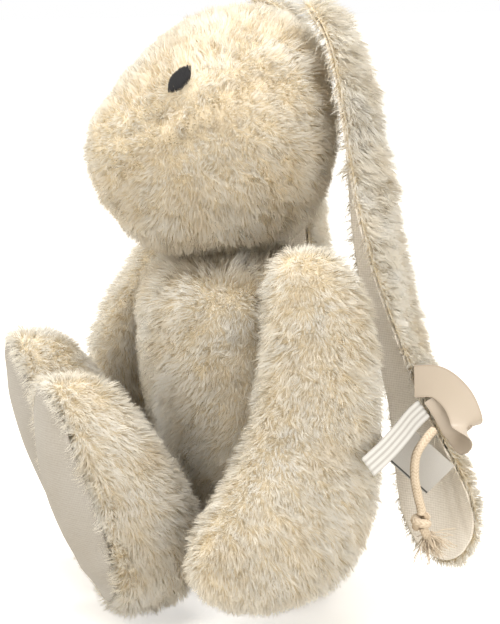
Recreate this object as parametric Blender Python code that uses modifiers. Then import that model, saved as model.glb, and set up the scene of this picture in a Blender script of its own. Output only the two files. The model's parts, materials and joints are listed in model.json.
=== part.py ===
"""A sitting lop-eared bunny soft toy, modelled as the pieces that it is sewn from.

Metres, +Z up. The origin is on the floor under the seat. The toy faces -Y, and its left side is +X.
Each soft form is lofted from a few stations, smoothed, turned into a skin of even thickness, and cut
apart along its seams, so that every panel of cloth and every lump of stuffing is its own solid.
"""

import math

import bmesh
import bpy
from mathutils import Matrix, Vector

MM = 0.001

# Cloth, seams and stuffing
PLUSH = 3.0 * MM  # knitted backing with the packed roots of the pile
LINEN = 1.2 * MM
SEAM_GAP = 0.9 * MM
STUFFING_GAP = 2.8 * MM
SEGMENTS = 12  # cage points round each form
FLAT = 9  # the number of the panel that closes a form's flat end
CAP_RING = 0.6  # where the inner ring of a flat end lies, from its middle to its edge

# Head: distance forward of its middle, half width, lowest and highest point of each station
HEAD_CENTRE = Vector((0, 0, 246)) * MM
HEAD_STATIONS = (
    (-42, 40, -48, 48, 0),
    (-22, 57, -66, 66, 0),
    (4, 63, -68, 67, 0),
    (30, 59, -67, 58, 0),
    (52, 48, -63, 41, 0),
    (68, 34, -50, 22, 0),
    (80, 18, -31, 9, 0),
)
HEAD_BACK, HEAD_NOSE = (-50, 2), (88, -4)
GUSSET_SEGMENTS = 2  # cage faces on each side of the middle line that the forehead gusset covers

# Torso: height, half width, front and back of each station, from the flat seat up
TORSO_STATIONS = (
    (0, 44, -20, 44, 0),
    (16, 58, -28, 56, 0),
    (46, 63, -32, 60, 0),
    (84, 62, -46, 58, 0),
    (120, 58, -57, 54, 0),
    (150, 54, -57, 50, 0),
    (171, 46, -52, 43, 0),
)
TORSO_TOP = (182.5, -2)

# Arm: distance down from the shoulder, half thickness, back edge and front edge of each station
ARM_STATIONS = (
    (6, 17, -24, 22, 0),
    (32, 24, -40, 22, 0),
    (66, 25, -41, 26, 0),
    (98, 25, -41, 35, 0),
    (128, 26, -40, 60, 0),
    (154, 26, -30, 76, 0),
    (172, 22, -13, 64, 0),
)
RIGHT_ARM_BEND = (3, 15, 36, 26, 8, 0, 0)  # how far forward the right arm bulges at each station
ARM_ROOT, ARM_END = (-4, -2), (186, 25)
ARM_LEAN = math.radians(7.5)  # outwards, along the side of the torso
SHOULDER = Vector((80, 2, 197)) * MM

# Leg and foot: distance forward of the hip, half width, underside, top and lean of each station
LEG_STATIONS = (
    (5, 22, -24, 24, 0),
    (17, 30, -39, 50, 4),
    (32, 33, -42, 80, 8),
    (50, 34, -43, 100, 12),
    (68, 32, -38, 88, 20),
)
LEG_ROOT = (-1, 0)
SOLE_CROWN = 14  # how far the stuffing pushes the middle of the sole out
HIP = Vector((34, -35, 44)) * MM
LEG_SPLAY = math.radians(6)
RIGHT_LEG_RAISE = math.radians(6)  # the right foot sits a little higher
RIGHT_FOOT_TILT = ((0, 0), (0, 2), (-1, 4), (-3, 7), (-5, 9))  # change of distance and lean

# Ear: a strip along a hanging centre line, with its half width, the heading of its width and its cup
EAR_LINE = (
    ((29, 27, 307), 11, -5, 2),
    ((37, 35, 300), 13, -15, 4),
    ((45, 43, 284), 16, -24, 8),
    ((50, 49, 258), 17.5, -24, 11.5),
    ((54, 57, 222), 18, -20, 17),
    ((57, 64, 182), 19, -10, 19),
    ((59, 72, 142), 23, -4, 14),
    ((61, 82, 105), 25, -1, 12),
    ((62, 86, 75), 27, 16, 7),
    ((65, 88, 48), 26, 30, 4),
    ((68, 89, 32), 16, 34, 2),
)
EAR_TIP = Vector((70, 89, 21)) * MM
EAR_PILE = 4.0 * MM

# Face
EYE_PLACE = Vector((34, -42, 272)) * MM
EYE_SLANT = 0.5
EYE_LENGTH, EYE_WIDTH, STITCH = 15 * MM, 10 * MM, 1.2 * MM
FACE_CLEARANCE = 0.5 * MM

# Tags sewn into the edge seam of the left ear, each along its own path
TAPE_WIDTH, TAPE_THICK = 10.5 * MM, 1.1 * MM
TAPE_PATH = ((89, 64.5, 111), (97, 55, 108), (108, 44, 104), (118, 32, 99), (127, 19, 94))
TAPE_BREADTH = Vector((0.3, 0.5, -0.8))
RIBBON_WIDTH, RIBBON_THICK = 16 * MM, 0.9 * MM
RIBBON_PATH = (
    (88, 60, 125),
    (94, 70, 125),
    (100, 78, 117),
    (103, 82, 105),
    (101, 81, 97),
    (97, 80, 101),
    (94, 76, 110),
    (92.5, 70.5, 119),
)
RIBBON_BREADTH = Vector((0, 0.2, 1))
LABEL_WIDTH, LABEL_THICK = 28 * MM, 0.8 * MM
LABEL_PATH = ((88.5, 71, 90.5), (86, 67, 85.5), (83.5, 63, 80.5), (81, 59, 75.5))
LABEL_BREADTH = Vector((0.2, 0.68, -0.72))
CORD_RADIUS = 2.2 * MM
CORD_PATH = (
    ((94, 68, 101), 1),
    ((97, 62, 97), 1),
    ((98, 57, 90), 1),
    ((98.5, 56, 80), 1),
    ((98, 58, 70), 1),
    ((98, 59.5, 62), 1),
    ((98, 60, 58), 2.3),
    ((98, 60.5, 53), 2.6),
    ((98, 62, 49), 1.3),
    ((98, 66, 45), 1.8),
    ((98, 71, 41), 2.8),
)

# Joints: where the pieces that move hang from
PIVOTS = {
    "head": Vector((0, 0, 182)) * MM,
    "arm_left": Vector((80, 7, 178)) * MM,
    "arm_right": Vector((-80, 7, 178)) * MM,
    "leg_left": Vector((34, -48, 46)) * MM,
    "leg_right": Vector((-34, -48, 46)) * MM,
    "ear_left": Vector((30, 23, 305)) * MM,
    "ear_right": Vector((-30, 23, 305)) * MM,
    "tag_tape": Vector(TAPE_PATH[0]) * MM,
    "tag_ribbon": Vector(RIBBON_PATH[0]) * MM,
    "tag_label": Vector(LABEL_PATH[0]) * MM,
    "tag_cord": Vector(CORD_PATH[0][0]) * MM,
}
MOVED_WITH = {
    "head": ("head", "eye"),
    "leg_left": ("leg_left", "foot_left"),
    "leg_right": ("leg_right", "foot_right"),
}


def clear_scene():
    for obj in list(bpy.data.objects):
        bpy.data.objects.remove(obj)


def material(name, colour, roughness):
    made = bpy.data.materials.new(name)
    made.use_nodes = True
    shader = made.node_tree.nodes["Principled BSDF"]
    shader.inputs["Base Color"].default_value = (*colour, 1)
    shader.inputs["Roughness"].default_value = roughness
    shader.inputs["Metallic"].default_value = 0
    return made


def add_object(name, mesh, surface, matrix=None):
    obj = bpy.data.objects.new(name, mesh)
    toy.objects.link(obj)
    mesh.materials.clear()
    mesh.materials.append(surface)
    if matrix is not None:
        obj.matrix_world = matrix
    return obj


def with_modifiers(mesh, *settings):
    """The mesh after the modifiers, each given as its type and a dict of its settings."""
    obj = bpy.data.objects.new("work", mesh)
    bpy.context.scene.collection.objects.link(obj)
    for kind, values in settings:
        modifier = obj.modifiers.new(kind.lower(), kind)
        for key, value in values.items():
            setattr(modifier, key, value)
    graph = bpy.context.evaluated_depsgraph_get()
    result = bpy.data.meshes.new_from_object(obj.evaluated_get(graph))
    bpy.data.objects.remove(obj)
    return result


SMOOTH = ("SUBSURF", {"levels": 1, "render_levels": 1})


def shell_of(mesh, thickness):
    """The mesh with an even inner skin, not yet joined at any edge."""
    values = {"thickness": thickness, "offset": -1, "use_even_offset": True, "use_rim": False}
    return with_modifiers(mesh, ("SOLIDIFY", values))


def station_ring(bm, station):
    """A ring of cage points, the first at local +X, in the plane of its station."""
    along, side, low, high, lean = (value * MM for value in station)
    ring = []
    for k in range(SEGMENTS):
        angle = 2 * math.pi * k / SEGMENTS
        across = (low + high) / 2 + (high - low) / 2 * math.sin(angle)
        place = (side * math.cos(angle), across, along + lean * math.sin(angle))
        ring.append(bm.verts.new(place))
    return ring


def lofted_cage(stations, start, end, panel_of, crown=0):
    """A closed cage through the stations. A start or end of None is a face there of its own.

    panel_of gives the number of the panel that a cage face belongs to, from its place round the form.
    The face of its own is panel FLAT, and its middle stands out by the crown.
    """
    bm = bmesh.new()
    panel = bm.faces.layers.int.new("panel")
    crease = bm.edges.layers.float.new("crease_edge")
    rings = [station_ring(bm, station) for station in stations]

    def add_band(lower, upper, number_of):
        for k in range(SEGMENTS):
            j = (k + 1) % SEGMENTS
            bm.faces.new((lower[k], lower[j], upper[j], upper[k]))[panel] = number_of(k)

    def add_cap(ring, tip, turn, number_of):
        for k in range(SEGMENTS):
            j = (k + 1) % SEGMENTS
            bm.faces.new((ring[k], ring[j], tip)[::turn])[panel] = number_of(k)

    def add_flat_end(ring, turn):
        middle = (ring[SEGMENTS // 4].co + ring[-SEGMENTS // 4].co) / 2
        rise = Vector((0, 0, turn * crown * MM))
        inner = [bm.verts.new(middle.lerp(vert.co, CAP_RING) + rise * (1 - CAP_RING**2)) for vert in ring]
        pair = (ring, inner) if turn > 0 else (inner, ring)
        add_band(*pair, lambda k: FLAT)
        add_cap(inner, bm.verts.new(middle + rise), turn, lambda k: FLAT)
        for k in range(SEGMENTS):
            bm.edges.get((ring[k], ring[(k + 1) % SEGMENTS]))[crease] = 1

    for lower, upper in zip(rings, rings[1:]):
        add_band(lower, upper, panel_of)
    for ring, pole, turn in ((rings[0], start, -1), (rings[-1], end, 1)):
        if pole is None:
            add_flat_end(ring, turn)
        else:
            add_cap(ring, bm.verts.new((0, pole[1] * MM, pole[0] * MM)), turn, panel_of)
    mesh = bpy.data.meshes.new("cage")
    bm.to_mesh(mesh)
    bm.free()
    return mesh


def mirrored(mesh):
    """The mesh for the toy's right side."""
    copy = mesh.copy()
    copy.transform(Matrix.Diagonal((-1, 1, 1, 1)))
    copy.flip_normals()
    return copy


def cut_panel(skin, number):
    """One panel of a two-walled skin, drawn back from its seams and closed along its cut edge."""
    bm = bmesh.new()
    bm.from_mesh(skin)
    panel = bm.faces.layers.int["panel"]
    others = [face for face in bm.faces if face[panel] != number]
    bmesh.ops.delete(bm, geom=others, context="FACES")
    edge_verts = [vert for vert in bm.verts if vert.is_boundary]
    moves = {}
    for vert in edge_verts:
        around = [edge.other_vert(vert) for edge in vert.link_edges]
        inner = [other for other in around if not other.is_boundary] or around
        middle = sum((other.co for other in inner), Vector()) / len(inner)
        moves[vert] = (middle - vert.co).normalized() * SEAM_GAP / 2
    for vert, move in moves.items():
        vert.co += move
    bmesh.ops.bridge_loops(bm, edges=[edge for edge in bm.edges if edge.is_boundary])
    bmesh.ops.recalc_face_normals(bm, faces=bm.faces)
    mesh = bpy.data.meshes.new("panel")
    bm.to_mesh(mesh)
    bm.free()
    return mesh


def stuffing_mesh(cage, form):
    """The solid that fills the form inside its skin, with one corner under each corner of the cage."""
    skin = shell_of(form, PLUSH + STUFFING_GAP)
    inner = skin.vertices[len(form.vertices) :]
    mesh = cage.copy()
    for vert, under in zip(mesh.vertices, inner):
        vert.co = under.co
    return mesh


def sew_form(name, cage, panels, matrix):
    """Adds the panels of the smoothed cage, given as number to (node, material), and its stuffing."""
    form = with_modifiers(cage, SMOOTH)
    skin = shell_of(form, PLUSH)
    for number, (node, surface) in panels.items():
        add_object(node, cut_panel(skin, number), surface, matrix)
    add_object(f"{name}_stuffing", stuffing_mesh(cage, form), fibrefill, matrix)
    return form


def facing_forward(place, splay=0.0):
    """Turns a form's length from local +Z to -Y, splayed by an angle to its left."""
    turn = Matrix.Rotation(splay, 4, "Z") @ Matrix.Rotation(math.pi / 2, 4, "X")
    return Matrix.Translation(place) @ turn


def build_head():
    quarter = SEGMENTS // 4

    def panel_of(k):
        if quarter - GUSSET_SEGMENTS <= k < quarter + GUSSET_SEGMENTS:
            return 0
        return 1 if (k < quarter or k >= 3 * quarter) else 2

    cage = lofted_cage(HEAD_STATIONS, HEAD_BACK, HEAD_NOSE, panel_of)
    matrix = facing_forward(HEAD_CENTRE)
    panels = {
        0: ("head_gusset_panel", plush),
        1: ("head_left_panel", plush),
        2: ("head_right_panel", plush),
    }
    form = sew_form("head", cage, panels, matrix)
    form.transform(matrix)
    face = bpy.data.objects.new("face_guide", form)
    guides.objects.link(face)
    face.hide_render = True
    face.display_type = "WIRE"
    return face


def build_torso():
    quarter = SEGMENTS // 4

    def panel_of(k):
        if k >= 2 * quarter:
            return 0  # -Y half
        return 1 if k < quarter else 2

    cage = lofted_cage(TORSO_STATIONS, None, TORSO_TOP, panel_of)
    panels = {
        0: ("torso_front_panel", plush),
        1: ("torso_back_left_panel", plush),
        2: ("torso_back_right_panel", plush),
        FLAT: ("torso_base_panel", plush),
    }
    sew_form("torso", cage, panels, Matrix.Identity(4))


def outer_or_inner(k):
    """The panel of a limb's cage face: 0 on the side of +X, 1 on the other."""
    quarter = SEGMENTS // 4
    return 0 if (k < quarter or k >= 3 * quarter) else 1


def build_arms():
    bent = [
        (along, side, low + bend, high + bend, lean)
        for (along, side, low, high, lean), bend in zip(ARM_STATIONS, RIGHT_ARM_BEND)
    ]
    left = lofted_cage(ARM_STATIONS, ARM_ROOT, ARM_END, outer_or_inner)
    right = mirrored(lofted_cage(bent, ARM_ROOT, ARM_END, outer_or_inner))
    for side, name, cage in ((1, "left", left), (-1, "right", right)):
        place = Vector((SHOULDER.x * side, SHOULDER.y, SHOULDER.z))
        matrix = (
            Matrix.Translation(place)
            @ Matrix.Rotation(-side * ARM_LEAN, 4, "Y")
            @ Matrix.Rotation(math.pi, 4, "X")
        )
        panels = {
            0: (f"arm_{name}_outer_panel", plush),
            1: (f"arm_{name}_inner_panel", plush),
        }
        sew_form(f"arm_{name}", cage, panels, matrix)


def build_legs():
    tilted = [
        (along + back, side, low, high, lean + more)
        for (along, side, low, high, lean), (back, more) in zip(LEG_STATIONS, RIGHT_FOOT_TILT)
    ]
    left = lofted_cage(LEG_STATIONS, LEG_ROOT, None, outer_or_inner, SOLE_CROWN)
    right = mirrored(lofted_cage(tilted, LEG_ROOT, None, outer_or_inner, SOLE_CROWN))
    for side, name, cage in ((1, "left", left), (-1, "right", right)):
        place = Vector((HIP.x * side, HIP.y, HIP.z))
        matrix = facing_forward(place, side * LEG_SPLAY)
        if side < 0:
            raised = Matrix.Rotation(-RIGHT_LEG_RAISE, 4, "X")
            matrix = Matrix.Translation(place) @ raised @ Matrix.Translation(-place) @ matrix
        panels = {
            0: (f"leg_{name}_outer_panel", plush),
            1: (f"leg_{name}_inner_panel", plush),
            FLAT: (f"foot_{name}_sole", linen),
        }
        sew_form(f"leg_{name}", cage, panels, matrix)


def ear_sheet():
    """The ear's middle surface: rows across the width, cupped forwards at both edges, and a round tip."""
    bm = bmesh.new()
    rows = []
    columns = 5
    for index, (place, half, heading, cup) in enumerate(EAR_LINE):
        centre = Vector(place) * MM
        ahead = Vector(EAR_LINE[index + 1][0]) * MM if index + 1 < len(EAR_LINE) else EAR_TIP
        behind = Vector(EAR_LINE[max(index - 1, 0)][0]) * MM
        along = (ahead - behind).normalized()
        angle = math.radians(heading)
        across = Vector((math.cos(angle), math.sin(angle), 0))
        across = (across - along * across.dot(along)).normalized()
        out = across.cross(along)
        row = []
        for j in range(columns):
            v = 2 * j / (columns - 1) - 1
            row.append(bm.verts.new(centre + (across * v * half - out * cup * v * v) * MM))
        rows.append(row)
    for upper, lower in zip(rows, rows[1:]):
        for j in range(columns - 1):
            bm.faces.new((upper[j], lower[j], lower[j + 1], upper[j + 1]))
    tip = bm.verts.new(EAR_TIP)
    for j in range(columns - 1):
        bm.faces.new((rows[-1][j], tip, rows[-1][j + 1]))
    mesh = bpy.data.meshes.new("ear")
    bm.to_mesh(mesh)
    bm.free()
    return mesh


def build_ears():
    sheet = with_modifiers(ear_sheet(), SMOOTH)
    for name, mesh in (("left", sheet), ("right", mirrored(sheet))):
        fur = with_modifiers(mesh, ("SOLIDIFY", {"thickness": EAR_PILE, "offset": -1}))
        in_front = 1 + 2 * SEAM_GAP / LINEN
        lining = with_modifiers(mesh, ("SOLIDIFY", {"thickness": LINEN, "offset": in_front}))
        add_object(f"ear_{name}_fur_panel", fur, plush)
        add_object(f"ear_{name}_lining", lining, linen)


def surface_point(guide, place, direction):
    """Where a line meets a guide's surface, and the surface's normal there."""
    hit, point, normal, _ = guide.ray_cast(place, direction)
    if not hit:
        raise ValueError("the line misses the surface")
    return point, normal


def build_eyes(face):
    """Each eye is a raised oval of satin stitches, lying on the head just clear of its skin."""
    for side, name in ((1, "left"), (-1, "right")):
        towards = Vector((EYE_PLACE.x * side, EYE_PLACE.y, EYE_PLACE.z)) - HEAD_CENTRE
        point, normal = surface_point(face, HEAD_CENTRE, towards)
        slant = Vector((side * EYE_SLANT, -1, 0))
        length = (slant - normal * slant.dot(normal)).normalized()
        width = normal.cross(length)
        frame = Matrix((length, width, normal)).transposed().to_4x4()
        bm = bmesh.new()
        size = Matrix.Diagonal((EYE_LENGTH / 2, EYE_WIDTH / 2, STITCH, 1))
        bmesh.ops.create_uvsphere(bm, u_segments=12, v_segments=6, radius=1, matrix=size)
        mesh = bpy.data.meshes.new("eye")
        bm.to_mesh(mesh)
        bm.free()
        place = Matrix.Translation(point + normal * (STITCH + FACE_CLEARANCE))
        add_object(f"eye_{name}", mesh, thread, place @ frame)


def smooth_path(points):
    """The points with one more between each pair, so that a cloth strip bends evenly."""
    path = [Vector(point) * MM for point in points]
    result = [path[0]]
    for index in range(len(path) - 1):
        before, after = path[max(index - 1, 0)], path[min(index + 2, len(path) - 1)]
        result.append((path[index] + path[index + 1]) * 0.5625 - (before + after) * 0.0625)
        result.append(path[index + 1])
    return result


def headings(path):
    """The direction of the path at each of its points."""
    last = len(path) - 1
    return [(path[min(i + 1, last)] - path[max(i - 1, 0)]).normalized() for i in range(last + 1)]


def add_strip(name, points, width, thick, breadth, surface):
    """A strip of cloth along a path. Its width runs the way of the breadth vector."""
    path = smooth_path(points)
    bm = bmesh.new()
    rows = []
    for place, ahead in zip(path, headings(path)):
        across = (breadth - ahead * breadth.dot(ahead)).normalized() * width / 2
        rows.append([bm.verts.new(place + across * side) for side in (-1, 1)])
    for first, second in zip(rows, rows[1:]):
        bm.faces.new((first[0], first[1], second[1], second[0]))
    mesh = bpy.data.meshes.new(name)
    bm.to_mesh(mesh)
    bm.free()
    strip = add_object(name, mesh, surface)
    cloth = strip.modifiers.new("cloth", "SOLIDIFY")
    cloth.thickness = thick
    cloth.offset = 0


def add_cord(name):
    """A knotted cord, thicker at its knot and flaring into a tassel."""
    curve = bpy.data.curves.new(name, "CURVE")
    curve.dimensions = "3D"
    curve.bevel_depth = CORD_RADIUS
    curve.bevel_resolution = 2
    curve.use_fill_caps = True
    spline = curve.splines.new("POLY")
    spline.points.add(len(CORD_PATH) - 1)
    for point, (place, swell) in zip(spline.points, CORD_PATH):
        point.co = (*(Vector(place) * MM), 1)
        point.radius = swell
    add_object(name, curve, cotton)


def build_tags():
    add_strip("tag_tape", TAPE_PATH, TAPE_WIDTH, TAPE_THICK, TAPE_BREADTH, elastic)
    add_strip("tag_ribbon", RIBBON_PATH, RIBBON_WIDTH, RIBBON_THICK, RIBBON_BREADTH, satin)
    add_strip("tag_label", LABEL_PATH, LABEL_WIDTH, LABEL_THICK, LABEL_BREADTH, woven)
    add_cord("tag_cord")


def hang_on_pivots():
    """Gives each moving piece a parent on its joint axis, and leaves it where it is."""
    for name, place in PIVOTS.items():
        pivot = bpy.data.objects.new(f"{name}_pivot", None)
        toy.objects.link(pivot)
        pivot.matrix_world = Matrix.Translation(place)
        starts = MOVED_WITH.get(name, (name,))
        for obj in toy.objects:
            if obj.type != "EMPTY" and obj.name.startswith(starts):
                obj.parent = pivot
                obj.matrix_parent_inverse = Matrix.Translation(-place)


clear_scene()
toy = bpy.data.collections.new("stuffed_bunny")
guides = bpy.data.collections.new("guides")
for collection in (toy, guides):
    bpy.context.scene.collection.children.link(collection)

plush = material("plush", (0.86, 0.78, 0.62), 0.95)
linen = material("linen", (0.84, 0.79, 0.70), 0.9)
fibrefill = material("fibrefill", (0.92, 0.92, 0.90), 1.0)
thread = material("thread", (0.02, 0.02, 0.02), 0.7)
elastic = material("elastic", (0.90, 0.86, 0.80), 0.8)
satin = material("satin", (0.72, 0.62, 0.50), 0.45)
woven = material("woven_label", (0.80, 0.80, 0.80), 0.7)
cotton = material("cotton_cord", (0.86, 0.77, 0.62), 0.95)

build_torso()
build_eyes(build_head())
build_arms()
build_legs()
build_ears()
build_tags()
hang_on_pivots()
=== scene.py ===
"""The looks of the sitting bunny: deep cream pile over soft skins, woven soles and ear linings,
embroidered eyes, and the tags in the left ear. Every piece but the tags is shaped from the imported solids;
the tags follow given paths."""

import json
import math

import bmesh
import bpy
import numpy as np
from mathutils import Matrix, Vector
from mathutils.bvhtree import BVHTree


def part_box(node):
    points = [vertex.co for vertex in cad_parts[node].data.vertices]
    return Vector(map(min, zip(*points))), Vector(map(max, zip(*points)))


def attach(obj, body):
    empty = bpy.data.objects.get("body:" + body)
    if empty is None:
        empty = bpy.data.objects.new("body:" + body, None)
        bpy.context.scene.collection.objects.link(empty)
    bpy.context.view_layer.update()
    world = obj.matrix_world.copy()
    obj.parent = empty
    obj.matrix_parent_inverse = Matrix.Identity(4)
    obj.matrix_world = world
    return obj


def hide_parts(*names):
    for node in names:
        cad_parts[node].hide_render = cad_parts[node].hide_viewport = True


MM = 0.001
DOWN = np.array((0.0, 0.0, -1.0))

# Camera: where it stands round the toy, and how much it takes in
AZIMUTH, ELEVATION = math.radians(70), math.radians(10)
DISTANCE, FRAME_HEIGHT = 1.2, 0.3245
AIM_SIDE, AIM_HEIGHT = 0.005, 0.149
SENSOR = 36

# Light
AMBIENT = 1.15  # strength of the light from all sides
AMBIENT_TINT = (1.0, 0.95, 0.86)
LAMPS = (  # name, azimuth and elevation in degrees, distance and size in metres, power in watts
    ("key", 70, 66, 1.1, 0.7, 12),
    ("fill", 92, 6, 1.4, 1.2, 8),
    ("front", -10, 10, 1.4, 1.2, 8),
)
FLOOR_GLOW = 0.45  # added to the floor where the camera sees it, to keep it as pale as the backdrop
FLOOR_COLOUR = (0.78, 0.755, 0.71)
FLOOR_SIZE, FLOOR_DROP = 6, 0.5 * MM

# Pile
PILE_DEPTH = 5.5 * MM  # from the envelope that the solids give down to the cloth
STRANDS_PER_CM2 = 200
FRINGE_PER_CM2 = 450  # the extra pile round an ear's rim, over its seam
STRAND_WIDTH = 0.34 * MM
STEPS = 2  # straight lengths in a strand
FLOOR_CLEARANCE = 0.4 * MM
TUFT, LOCK = 1.7 * MM, 4.5 * MM  # the size of the small and the large clumps
TUFT_PULL, LOCK_PULL = 0.6, 0.2  # how far the tips close up in each
SHAGGY, SMOOTH_COAT = (14, 52), (8, 40)  # degrees that a strand leans at its root and at its tip
LIMB_PILE, TORSO_PILE, HEAD_PILE = 9 * MM, 8.5 * MM, 7.8 * MM
SEAM_REACH = 5 * MM  # how far from a seam the pile is pulled down by it
SOLE_REACH = 9 * MM  # how far from a sole the pile is combed in over its edge
EYE_CLEARING = 6.3 * MM  # no pile grows nearer to the middle of an eye
SEEDS = {
    "torso": 1,
    "head": 2,
    "arm_left": 3,
    "arm_right": 4,
    "leg_left": 5,
    "leg_right": 6,
    "ear_left": 7,
    "ear_right": 8,
    "eye": 9,
    "fray": 12,
}

# Cloth and thread
SOLE_PAINTED_SHADE, LINING_PAINTED_LIGHT = 0.52, 1.25  # factors on the linen's colour: one cloth, darkened on the sole as painted shade and lightened in the lining as painted light
SOLE_SCALE, SOLE_SINK = 0.96, 0.8 * MM  # how much smaller and lower a sole's cloth is than its solid
STITCHES = 34  # threads side by side along an eye
STITCH_SIDES = 6
STITCH_TURNS = 9  # rings of points along each thread

# The strips of cloth: the path of each in mm from its seam, the way its width runs, and its width
TAPE_RIBS = 4
TAPE_PATH = ((89, 64.5, 111), (97, 55, 108), (108, 44, 104), (118, 32, 99), (127, 19, 94))
TAPE_BREADTH, TAPE_WIDTH = (0.3, 0.5, -0.8), 10.5 * MM
RIBBON_PATH = (
    (88, 60, 125),
    (94, 70, 125),
    (100, 78, 117),
    (103, 82, 105),
    (101, 81, 97),
    (97, 80, 101),
    (94, 76, 110),
    (92.5, 70.5, 119),
)
RIBBON_BREADTH, RIBBON_WIDTH = (0, 0.2, 1), 16 * MM
LABEL_PATH = ((88.5, 71, 90.5), (86, 67, 85.5), (83.5, 63, 80.5), (81, 59, 75.5))
LABEL_BREADTH, LABEL_WIDTH = (0.2, 0.68, -0.72), 28 * MM
STRIP_SPACING = 0.6 * MM  # between the rows of points along a strip

# The cord: where it hangs and where its knot is in mm, its braid and its frayed end
CORD_RADIUS = 2.2 * MM
CORD_PATH = ((94, 68, 101), (97, 62, 97), (98, 57, 90), (98.5, 56, 80), (98, 58, 70))
CORD_KNOT = (98, 60, 56)
CORD_SPACING = 0.35 * MM  # between the rings of points along it
BRAID_SIDES = 32
BRAID_COLUMNS = 4  # columns of crossing strands round the cord
BRAID_PITCH = 3.4 * MM
KNOT_RADIUS, KNOT_HEIGHT, KNOT_TURNS = 3.1 * MM, 5.5 * MM, 1.6
FRAY_THREADS = 90
FRAY_STEPS = 7
FRAY_SIDES = 3


# ---------------------------------------------------------------- meshes


def link(obj):
    bpy.context.scene.collection.objects.link(obj)
    return obj


def evaluated(mesh, *settings):
    """The mesh after the modifiers, each given as its type and a dict of its settings."""
    obj = link(bpy.data.objects.new("work", mesh))
    for kind, values in settings:
        modifier = obj.modifiers.new(kind.lower(), kind)
        for key, value in values.items():
            setattr(modifier, key, value)
    graph = bpy.context.evaluated_depsgraph_get()
    result = bpy.data.meshes.new_from_object(obj.evaluated_get(graph))
    bpy.data.objects.remove(obj)
    return result


def quad_copy(node):
    """A welded copy of a CAD node's mesh, with its triangles joined back into quads."""
    bm = bmesh.new()
    bm.from_mesh(nodes[node].data)
    bmesh.ops.remove_doubles(bm, verts=bm.verts, dist=1e-5)
    limit = math.radians(60)
    bmesh.ops.join_triangles(
        bm, faces=bm.faces, angle_face_threshold=limit, angle_shape_threshold=limit
    )
    mesh = bpy.data.meshes.new("copy")
    bm.to_mesh(mesh)
    bm.free()
    return mesh


def smoothed(mesh, levels):
    return evaluated(mesh, ("SUBSURF", {"levels": levels}))


def points_of(mesh):
    co = np.empty(len(mesh.vertices) * 3)
    mesh.vertices.foreach_get("co", co)
    return co.reshape(-1, 3)


def normals_of(mesh):
    co = np.empty(len(mesh.vertices) * 3)
    mesh.vertex_normals.foreach_get("vector", co)
    return co.reshape(-1, 3)


def set_points(mesh, points):
    mesh.vertices.foreach_set("co", np.ascontiguousarray(points, np.float32).ravel())
    mesh.update()


def edges_of(mesh):
    pairs = np.empty(len(mesh.edges) * 2, np.int64)
    mesh.edges.foreach_get("vertices", pairs)
    return pairs.reshape(-1, 2)


def triangles_of(mesh):
    mesh.calc_loop_triangles()
    triangles = np.empty(len(mesh.loop_triangles) * 3, np.int64)
    mesh.loop_triangles.foreach_get("vertices", triangles)
    return triangles.reshape(-1, 3)


def relaxed(points, edges, times):
    """The points after each has moved halfway to the middle of its neighbours, several times."""
    count = np.bincount(edges.ravel(), minlength=len(points))[:, None]
    for _ in range(times):
        total = np.zeros_like(points)
        np.add.at(total, edges[:, 0], points[edges[:, 1]])
        np.add.at(total, edges[:, 1], points[edges[:, 0]])
        points = (points + total / count) / 2
    return points


def unit(vectors):
    return vectors / np.maximum(np.linalg.norm(vectors, axis=-1, keepdims=True), 1e-12)


def waves(points, size, seed, terms=7):
    """Smooth noise of about -1 to 1 with features of about the given size. Each use has its own seed."""
    rng = np.random.default_rng(seed)
    total = np.zeros(len(points))
    for _ in range(terms):
        direction = unit(rng.normal(size=3)) * rng.uniform(0.7, 1.5) * math.pi / size
        total += np.sin(points @ direction + rng.uniform(0, 2 * math.pi))
    return total / math.sqrt(terms)


def bump_at(distance, reach):
    """1 at no distance, falling smoothly to 0 beyond the reach."""
    return np.exp(-((distance / reach) ** 2))


def bvh_of(node):
    mesh = nodes[node].data
    return BVHTree.FromPolygons([v.co for v in mesh.vertices], [p.vertices for p in mesh.polygons])


def middle_of(node):
    low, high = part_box(node)
    return (low + high) / 2


def mesh_from(name, points, faces, smooth=True):
    mesh = bpy.data.meshes.new(name)
    mesh.from_pydata([tuple(p) for p in points], [], [tuple(f) for f in faces])
    mesh.update()
    if smooth:
        mesh.shade_smooth()
    return mesh


def ring(centre, right, up, radius, sides):
    """Points round a circle in the plane of two unit vectors."""
    turns = [2 * math.pi * j / sides for j in range(sides)]
    return [centre + (right * math.cos(turn) + up * math.sin(turn)) * radius for turn in turns]


def tube_faces(first, rings, sides):
    """The faces of a closed tube whose rings of points follow one another from the first point."""
    last = first + (rings - 1) * sides
    faces = []
    for start in range(first, last, sides):
        for j in range(sides):
            a, b = start + j, start + (j + 1) % sides
            faces.append((a, b, b + sides, a + sides))
    faces.append(tuple(range(first, first + sides))[::-1])
    faces.append(tuple(range(last, last + sides)))
    return faces


def travelled_along(line):
    """How far each point of a line is from its start."""
    return np.concatenate([[0], np.cumsum(np.linalg.norm(np.diff(line, axis=0), axis=1))])


def show(name, mesh, body, slot, material, *replaced):
    """A finished piece: riding on its body, with its material, in place of the CAD nodes. The slot is not
    used.
    """
    obj = link(bpy.data.objects.new(name, mesh))
    mesh.materials.clear()
    mesh.materials.append(material)
    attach(obj, body)
    if replaced:
        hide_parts(*replaced)
    return obj


# ---------------------------------------------------------------- skins


class Skin:
    """The cloth under the pile of one form, as arrays that the pile is scattered on."""

    def __init__(self, mesh, panel, seam):
        self.points, self.normals = points_of(mesh), normals_of(mesh)
        self.triangles = triangles_of(mesh)
        self.panel, self.seam = panel, seam

    def middles(self):
        return self.points[self.triangles].mean(axis=1)

    def on_panels(self, numbers):
        return np.isin(self.panel, numbers)[self.triangles].sum(axis=1) >= 2


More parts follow.
